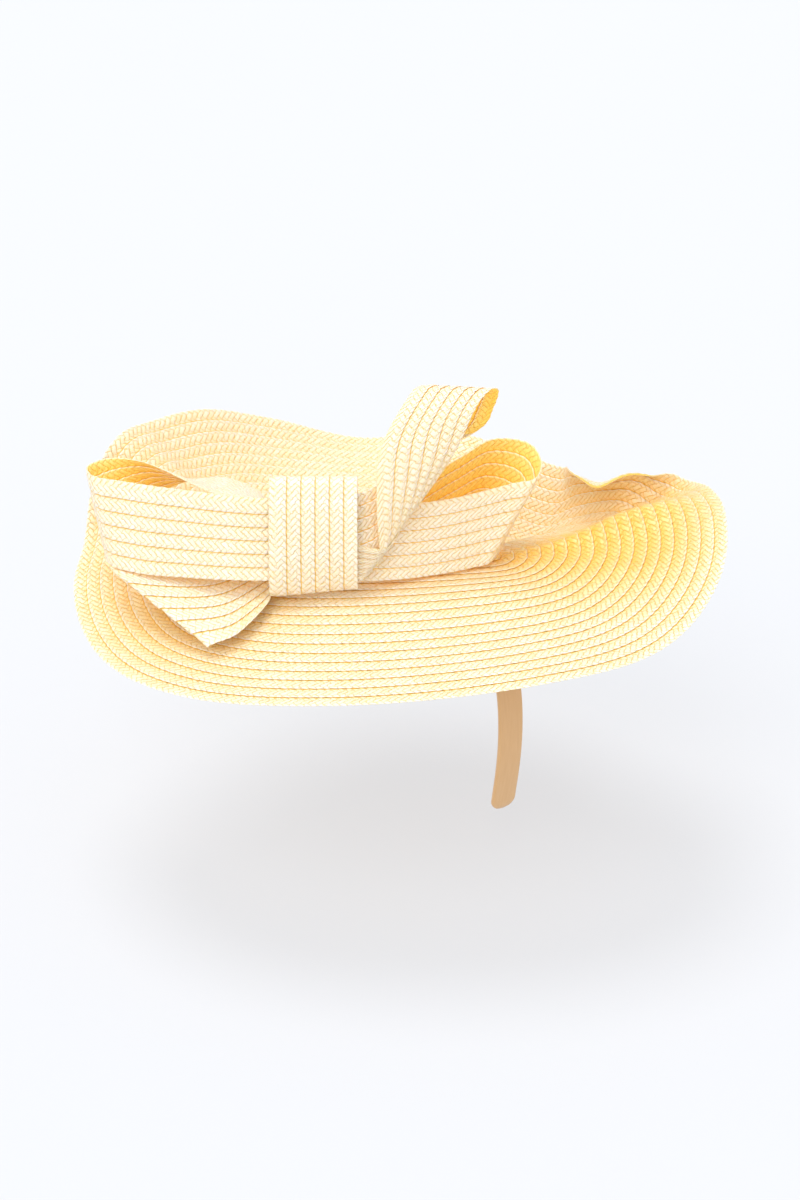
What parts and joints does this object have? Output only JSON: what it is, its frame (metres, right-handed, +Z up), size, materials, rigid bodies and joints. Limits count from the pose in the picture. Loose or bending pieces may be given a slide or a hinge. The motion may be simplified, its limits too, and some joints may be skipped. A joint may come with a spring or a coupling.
{
  "type": "fascinator",
  "caption": "Oval straw-braid fascinator with a wavy brim rolled at one end, a looped straw bow on top and a satin-covered headband below.",
  "frame": {"origin": "top of the inside of the headband, where it rests on the crown of the head", "axes": "+X along the brim to its rolled end, +Y across the brim away from the bow, +Z up through the crown"},
  "size_m": [0.3557, 0.2624, 0.2335],
  "materials": {
    "straw_brim": "sewn straw braid, soft sheen",
    "straw_bow": "sewn straw braid, soft sheen",
    "satin_headband": "tan satin ribbon"
  },
  "bodies": {
    "root": {"saucer": "straw_brim", "headband": "satin_headband", "knot": "straw_bow", "upper_left_loop": "straw_bow", "lower_left_loop": "straw_bow", "tall_loop": "straw_bow", "lower_right_loop": "straw_bow"}
  },
  "joints": []
}
